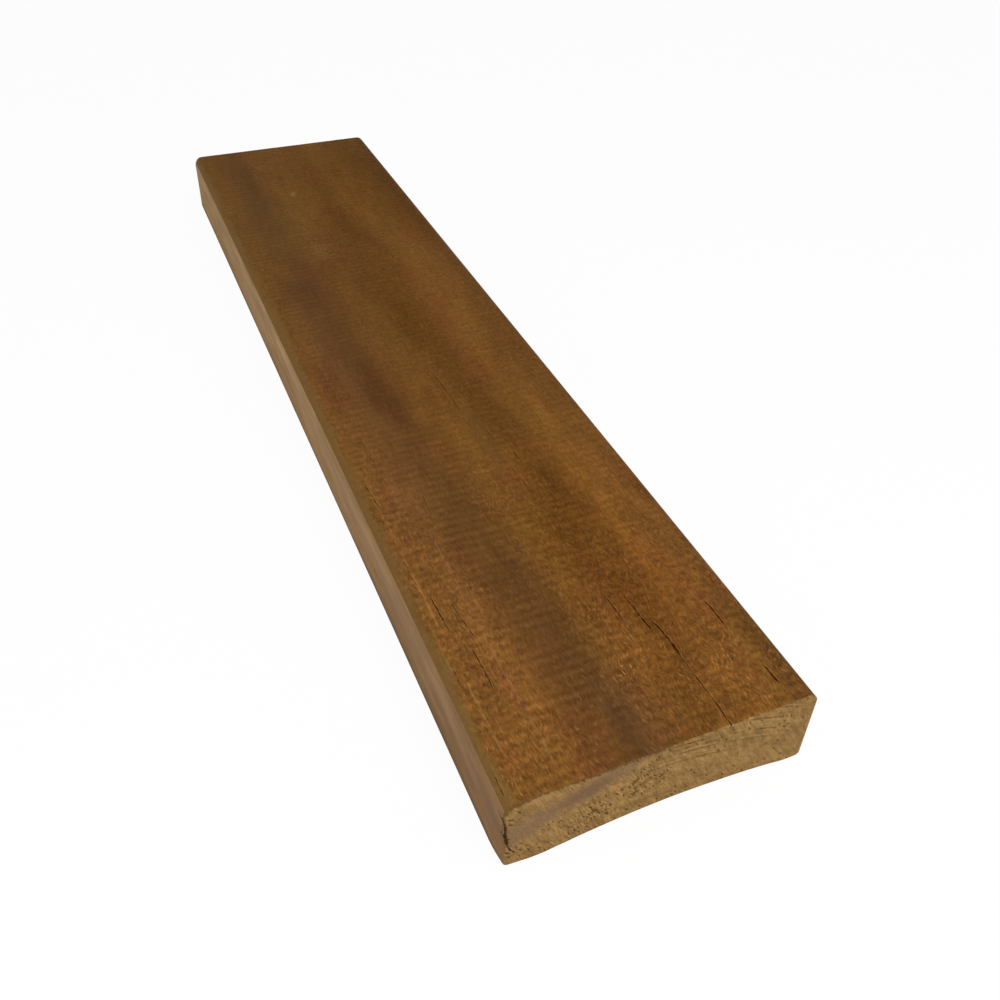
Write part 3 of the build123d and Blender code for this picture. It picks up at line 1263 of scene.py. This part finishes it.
@dataclass(frozen=True)
class BareEdge(Finish):
    """The bare planed sides and back: matt grey beige, with faint fibres and a darker lower arris."""

    name: str = "bare_planed_edge"
    roughness: float = 0.8
    specular: float = 0.06
    relief: float = 0.00004
    pale: Colour = srgb(158, 128, 92)
    deep: Colour = srgb(142, 113, 79)
    violet: Colour = srgb(138, 111, 83)
    foot: Colour = srgb(84, 64, 38)
    # Painted shade and light: darker towards the near end and low on the sides, lighter high up.
    near_shade_tone: Colour = (0.74, 0.68, 0.68)
    low_shade_tone: Colour = (0.94, 0.88, 0.75)
    high_lit_tone: Colour = (1.14, 1.12, 1.06)
    pore: Colour = srgb(84, 60, 36)

    def pattern(self, w: Wiring, plain: Wire, grain: Wire) -> Pattern:
        """Pale mottle with the face's stripe passing through it, then fibres and pores, as in Finish."""
        x, y, z = w.split(plain)
        mottle = w.noise(grain, (0.014, 0.12, 0.12), 3, 0.5)
        base = w.blend(w.steps(mottle, 0.3, 0.7), self.deep, self.pale)
        stripe = {"Far": -20.0, "Near": -5.0, "Bow": -3.5, "Half": 5.0, "Soft": 4.0, "Slant": 2.7}
        base = w.blend(w.place("soft_band", Grain=grain, **stripe)["Mask"] * 0.5, base, self.violet)
        fibre = w.place("fibres", Grain=grain)["Value"]
        base = w.shaded(base, w.steps(fibre, 0.3, 0.7), 0.955, 1.04)
        # Painted shading of the knife marks' ripple.
        marks = w.place("knife_marks", Plain=plain)["Value"]
        base = w.shaded(base, marks, 0.98, 1.02)
        blotches = w.noise(grain, (0.05, 0.28, 0.28), 3, 0.6)
        base = w.shaded(base, w.steps(blotches, 0.3, 0.7), 0.86, 1.14)
        # Painted shade: darker towards the near end, darker low down and lighter high up.
        base = w.blend(w.steps(x, 10, 160), base, self.near_shade_tone, "MULTIPLY")
        tone = w.blend(w.steps(z, 2.0, 18.0), self.low_shade_tone, self.high_lit_tone)
        base = w.blend(1.0, base, tone, "MULTIPLY")
        low = w.steps(z, 3.4, 0.6) * w.steps(abs(y), 32.5, 34.2)
        uneven = w.steps(w.noise(plain, (0.06, 0.3, 0.3), 2), 0.3, 0.7)
        base = w.blend(low * (uneven * 0.3 + 0.7), base, self.foot)
        vessels = w.place("vessels", Grain=grain, Density=0.15, Reach=0.15)["Mask"]
        base = w.blend(vessels * 0.3, base, self.pore)
        height = fibre * 0.6 - vessels
        rough = fibre * 0.12 + (self.roughness - 0.06)
        return base, rough, height


# Where pores crowd on the sawn ends: the middle across and up, half the sizes, and how dense.
PORE_CLUSTERS = (
    (-16.0, 6.4, 6.5, 5.0, 0.52),
    (-5.0, 12.6, 7.0, 5.5, 0.52),
    (-26.2, 9.4, 2.4, 1.8, 0.46),
    (-15.0, 11.6, 3.2, 2.4, 0.4),
    (-32.0, 5.0, 4.0, 2.6, 0.4),
    (14.0, 17.6, 14.0, 2.6, 0.12),
    (27.0, 12.5, 6.0, 4.0, 0.14),
)


@dataclass(frozen=True)
class SawnEnd(Finish):
    """The sawn ends: tan end grain with pores in slanted rows, ring lines and a violet band."""

    name: str = "sawn_end_grain"
    roughness: float = 0.85
    specular: float = 0.02
    relief: float = 0.00012
    tan: Colour = srgb(150, 117, 71)
    deep: Colour = srgb(137, 106, 63)
    violet: Colour = srgb(126, 99, 72)
    pore: Colour = srgb(76, 54, 16)
    pale: Colour = srgb(164, 132, 84)
    rim: Colour = srgb(92, 58, 26)
    core: Colour = srgb(104, 76, 52)

    def pattern(self, w: Wiring, plain: Wire, grain: Wire) -> Pattern:
        """Tan mottle, ring lines, the violet band, clustered pores and saw scratches, as in Finish."""
        _, y, z = w.split(plain)
        rings = w.place("growth_rings", Grain=plain)
        mottle = w.noise(plain, (0.2, 0.22, 0.3), 3, 0.6)
        base = w.blend(w.steps(mottle, 0.32, 0.68), self.deep, self.tan)
        base = w.shaded(base, w.steps(rings["Rings"], 0.3, 0.7), 0.95, 1.05)
        low, high = PORE_LEAN
        leaning = w.combine(y * low + z * -high, y * high + z * low, 0.0)
        slanted = w.noise(leaning, (0.22, 0.75, 1), 3, 0.6)
        base = w.shaded(base, w.steps(slanted, 0.3, 0.7), 0.79, 1.2)
        lined = w.steps(y, -6, 6) * w.steps(y, 33, 26) * w.steps(z, 11, 16)
        broken = w.steps(w.noise(plain, (0.3, 0.3, 0.5), 2), 0.36, 0.6)
        lined = lined * broken
        dark_line = w.steps(rings["Fine"], 0.5, 0.36) * (lined * 0.75 + 0.08)
        base = w.blend(dark_line, base, self.rim)
        pale_line = w.steps(rings["Fine"], 0.52, 0.64) * (lined * 0.65 + 0.08)
        base = w.blend(pale_line, base, self.pale)
        blotch = w.noise(plain, (0.3, 0.28, 0.4), 3, 0.6)
        height = z * BAND_LEAN[0] + y * -BAND_LEAN[1]
        off = abs(blotch * 4.0 + height - 24.0)
        wider = w.steps(y, -20, -34) * 2.2 + 4.0
        band = w.steps(off, wider, 0.8) * w.steps(y, 8, -4)
        base = w.blend(band * 0.8, base, self.violet)
        turned = w.combine(y * BAND_LEAN[0] + z * BAND_LEAN[1], height, 0.0)
        base = w.blend(w.patch(turned, -10.0, 21.6, 7.0, 2.0) * 0.45, base, self.core)
        across = w.combine(y, z, 0.0)
        crowd = w.steps(y, 26, -4) * 0.05 + 0.04
        for along, up, reach, half, density in PORE_CLUSTERS:
            crowd = w.patch(across, along, up, reach, half) * density + crowd
        crowd = crowd * (band * -0.75 + 1)
        pores = w.place("end_pores", Plain=plain, Crowd=crowd)
        coarse = w.steps(y, 30, -20) * 0.1 + (band * -0.1 + 0.2)
        coarse = crowd * 0.55 + coarse
        base = w.dimmed(base, (pores["Grit"] - 0.5) * (coarse * 1.2) + 1.0)
        base = w.blend(pores["Mask"] * 0.8, base, self.pore)
        corner_y = w.maths("MAXIMUM", abs(y) - (STRIP_WIDTH / 2 - FACE_ARRIS), 0.0)
        corner_z = w.maths("MAXIMUM", z - (STRIP_THICKNESS - FACE_ARRIS), 0.0)
        inward = FACE_ARRIS - w.maths("SQRT", corner_y * corner_y + corner_z * corner_z)
        frayed = w.noise(w.combine(z * 0.5 + y, z, 0.0), (1.5, 0.6, 1), 3, 0.7) - 0.5
        reach = w.steps(y, -27, -33) * 0.9 + w.steps(y, 8, -12) * 0.6
        soaked = w.steps(frayed * 2.4 + (inward - reach), 0.4, -0.4)
        soaked = soaked * w.steps(z, 17.2, 18.4)
        base = w.blend(soaked * 0.75, base, self.rim)
        scratches = w.noise(w.combine(z * 0.12 + y, z, 0.0), (3.4, 0.12, 1), 2)
        base = w.shaded(base, scratches, 0.94, 1.06)
        bumps = scratches * 0.3 + pores["Grit"] * 0.5
        rough = pores["Grit"] * 0.1 + (self.roughness - 0.05)
        return base, rough, bumps - pores["Mask"]


@dataclass(frozen=True)
class SplitWood(Finish):
    """The torn wood: dark inside the checks, partly by painted shade, and in the chip as pale as the side."""

    name: str = "split_wood"
    roughness: float = 0.9
    specular: float = 0.02
    relief: float = 0.00008
    # The checks' browns, darkened in part as painted shade.
    torn: Colour = srgb(104, 70, 34)
    deep: Colour = srgb(84, 54, 24)
    chipped: Colour = srgb(126, 99, 64)

    def pattern(self, w: Wiring, plain: Wire, grain: Wire) -> Pattern:
        """Torn fibres of the bare wood's colour; Finish paints shade on them where the check is deep."""
        torn = w.noise(grain, (0.4, 3.0, 1.6), 3, 0.6)
        base = w.blend(w.steps(torn, 0.35, 0.65), self.deep, self.torn)
        x, y, _ = w.split(plain)
        in_chip = w.steps(x, 150, 153) * w.steps(y, -31, -32.5)
        base = w.blend(in_chip * 0.85, base, self.chipped)
        return (base, torn * 0.1 + (self.roughness - 0.05), torn)


@dataclass
class Studio:
    """The photograph's view, a plain pale floor and soft light."""

    eye: Colour = (0.25126, -0.07899, 0.18323)
    right: Colour = (0.3959, 0.9178, 0.0298)
    up: Colour = (-0.5948, 0.2315, 0.7698)
    lens: float = 36.375
    shift: tuple[float, float] = (-0.010, -0.020)
    floor_size: float = 6.0
    world_strength: float = 0.31

    def camera(self) -> None:
        """Places the camera by its own axes: the view runs along right x up, turned away from it."""
        data = bpy.data.cameras.new("photo_view")
        data.sensor_width = 36
        data.lens = self.lens
        data.shift_x, data.shift_y = self.shift
        data.clip_start, data.clip_end = 0.01, 50
        camera = linked("photo_view", data)
        right, up = Vector(self.right).normalized(), Vector(self.up)
        back = right.cross(up).normalized()
        up = back.cross(right)
        turn = Matrix((right, up, back)).transposed().to_4x4()
        camera.matrix_world = Matrix.Translation(self.eye) @ turn
        bpy.context.scene.camera = camera

    def floor(self) -> None:
        """A pale sheet at the level the strip lies on. What the camera sees of it is mostly plain white."""
        half = self.floor_size / 2
        corners = np.array([[-1, -1, 0], [1, -1, 0], [1, 1, 0], [-1, 1, 0]]) * half
        mesh = bpy.data.meshes.new("floor")
        mesh.from_pydata(corners.tolist(), [], [(0, 1, 2, 3)])
        floor = linked("floor", mesh)
        made = bpy.data.materials.new("pale_floor")
        w = Wiring.of(made)
        lit = w.node("BsdfPrincipled")
        lit.inputs["Base Color"].default_value = (0.9, 0.9, 0.9, 1)
        lit.inputs["Roughness"].default_value = 0.9
        lit.inputs["Specular IOR Level"].default_value = 0.1
        plain = w.node("Emission")
        plain.inputs["Color"].default_value = (1, 1, 1, 1)
        plain.inputs["Strength"].default_value = 1
        mixed = w.node("MixShader")
        w.feed(mixed.inputs[0], self.seen(w) * 0.95)
        w.feed(mixed.inputs[1], lit.outputs[0])
        w.feed(mixed.inputs[2], plain.outputs[0])
        w.feed(w.node("OutputMaterial").inputs["Surface"], mixed.outputs[0])
        mesh.materials.append(made)

    @staticmethod
    def seen(w: Wiring) -> Wire:
        """Is 1 for what the camera sees, straight, mirrored or through glass."""
        path = w.node("LightPath")
        direct = w.maths("MAXIMUM", path.outputs["Is Camera Ray"], path.outputs["Is Glossy Ray"])
        return w.maths("MAXIMUM", direct, path.outputs["Is Transmission Ray"])

    def world(self) -> None:
        """Even light from all round, which shows as white."""
        world = bpy.data.worlds.new("studio")
        w = Wiring.of(world)
        sky = w.node("Background")
        sky.inputs["Color"].default_value = (1, 1, 1, 1)
        share = self.seen(w)
        w.feed(sky.inputs["Strength"], share * (1 - self.world_strength) + self.world_strength)
        w.feed(w.node("OutputWorld").inputs["Surface"], sky.outputs[0])
        bpy.context.scene.world = world

    def lamp(self, name: str, place: Colour, target: Colour, size: float, power: float) -> None:
        """A square soft lamp.

        Args:
            name: Its name.
            place: Where it stands.
            target: Where it points.
            size: Its side, in metres.
            power: Its power, in watts.
        """
        data = bpy.data.lights.new(name, "AREA")
        data.size = size
        data.energy = power
        lamp = linked(name, data)
        lamp.location = place
        lamp.rotation_mode = "QUATERNION"
        lamp.rotation_quaternion = (Vector(target) - Vector(place)).to_track_quat("-Z", "Y")

    def build(self) -> None:
        """Sets up the camera, the floor, the world and three lamps."""
        self.camera()
        self.floor()
        self.world()
        self.lamp("key_softbox", (0.42, 0.0, 0.48), (0.08, 0.0, 0.0), 0.4, 2.8)
        self.lamp("fill_softbox", (-0.2, 0.9, 0.8), (0.0, 0.0, 0.0), 0.9, 1.8)
        self.lamp("side_softbox", (-0.3, -0.9, 0.3), (-0.1, 0.0, 0.0), 0.8, 2.6)
        bpy.context.scene.view_settings.view_transform = "Standard"


def corners(box: tuple[Vector, Vector]) -> list[list[float]]:
    """A box's two corners as plain lists."""
    return [list(corner) for corner in box]


def main() -> None:
    """Builds the strip and its surroundings."""
    logging.basicConfig(level=logging.INFO, format="%(message)s")
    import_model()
    WoodPatterns.build()
    maker = PlanedStrip()
    strip = maker.build()
    maker.dress(strip)
    log.info("planed_strip: %d vertices, %d faces", len(strip.data.vertices), len(strip.data.polygons))
    Studio().build()


if __name__ == "__main__":
    main()
